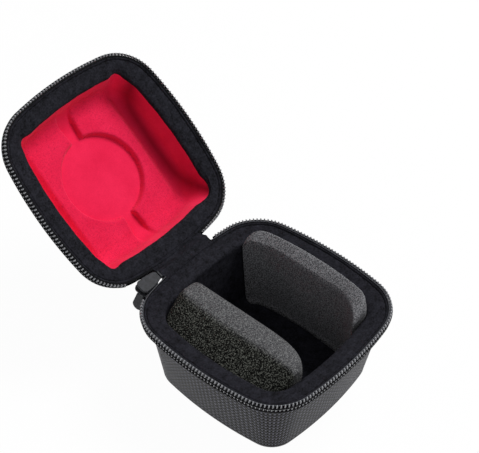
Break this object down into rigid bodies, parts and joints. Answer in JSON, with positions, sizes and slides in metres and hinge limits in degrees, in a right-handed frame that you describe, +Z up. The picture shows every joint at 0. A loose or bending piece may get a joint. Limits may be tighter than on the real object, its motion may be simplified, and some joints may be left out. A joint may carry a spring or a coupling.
{
  "type": "watch travel case",
  "caption": "Small hard zip case for one wristwatch, hinged open, with a pressed lid, red lid lining and foam cushions in the base.",
  "frame": {"origin": "centre of the base's underside, on the table", "axes": "+Z up, +X along the hinge, -Y towards the front, the lid opens towards +Y"},
  "size_m": [0.092, 0.173, 0.1002],
  "materials": {
    "woven_cover": "coarse woven nylon, dark grey",
    "moulded_foam": "moulded stiff foam between the two fabrics",
    "black_velvet": "short black pile",
    "red_velvet": "short crimson pile, pressed",
    "grey_foam": "open-cell foam, mottled grey",
    "zip_tape": "ribbed polyester tape",
    "zip_coil": "nylon coil, slightly shiny",
    "thread": "grey sewing thread",
    "hinge_tape": "plain woven tape",
    "dark_metal": "dark grey enamel over die-cast metal"
  },
  "bodies": {
    "base": {"base_cover": "woven_cover", "base_core": "moulded_foam", "base_lining": "black_velvet", "base_rim_band": "black_velvet", "base_zip_tape": "zip_tape", "base_zip_teeth": "zip_coil", "base_stitches": "thread", "base_hinge_strip": "hinge_tape", "base_hinge_lining": "black_velvet", "left_cushion": "grey_foam", "right_cushion": "grey_foam"},
    "lid": {"lid_cover": "woven_cover", "lid_core": "moulded_foam", "lid_lining": "red_velvet", "lid_rim_band": "black_velvet", "lid_zip_tape": "zip_tape", "lid_zip_teeth": "zip_coil", "lid_stitches": "thread", "lid_hinge_strip": "hinge_tape", "lid_hinge_lining": "black_velvet"},
    "zip_end": {"zip_bottom_stop": "dark_metal"},
    "slider": {"slider_body": "dark_metal", "slider_bridge": "dark_metal"},
    "wire": {"pull_wire": "dark_metal"},
    "grip": {"pull_grip": "dark_metal"}
  },
  "joints": [
    {"name": "lid_hinge", "type": "hinge", "parent": "base", "child": "lid", "pos_m": [0, 0.0478, 0.0405], "axis": [-1, 0, 0], "range_deg": [-140, 40]},
    {"name": "zip_end_tilt", "type": "hinge", "parent": "base", "child": "zip_end", "pos_m": [0, 0.0478, 0.0405], "axis": [-1, 0, 0], "range_deg": [-70, 20]},
    {"name": "zip_slide", "type": "slide", "parent": "zip_end", "child": "slider", "axis": [-1, 0, 0], "range_m": [0, 0.006]},
    {"name": "wire_swing", "type": "hinge", "parent": "slider", "child": "wire", "pos_m": [-0.0228, 0.04888, 0.03754], "axis": [0, 0.9397, 0.342], "range_deg": [-40, 80]},
    {"name": "grip_swing", "type": "hinge", "parent": "wire", "child": "grip", "pos_m": [-0.0228, 0.05093, 0.0319], "axis": [0, 0.9397, 0.342], "range_deg": [-40, 40]}
  ],
  "couplings": [
    {"joint": "zip_end_tilt", "follows": "lid_hinge", "ratio": 0.5}
  ]
}
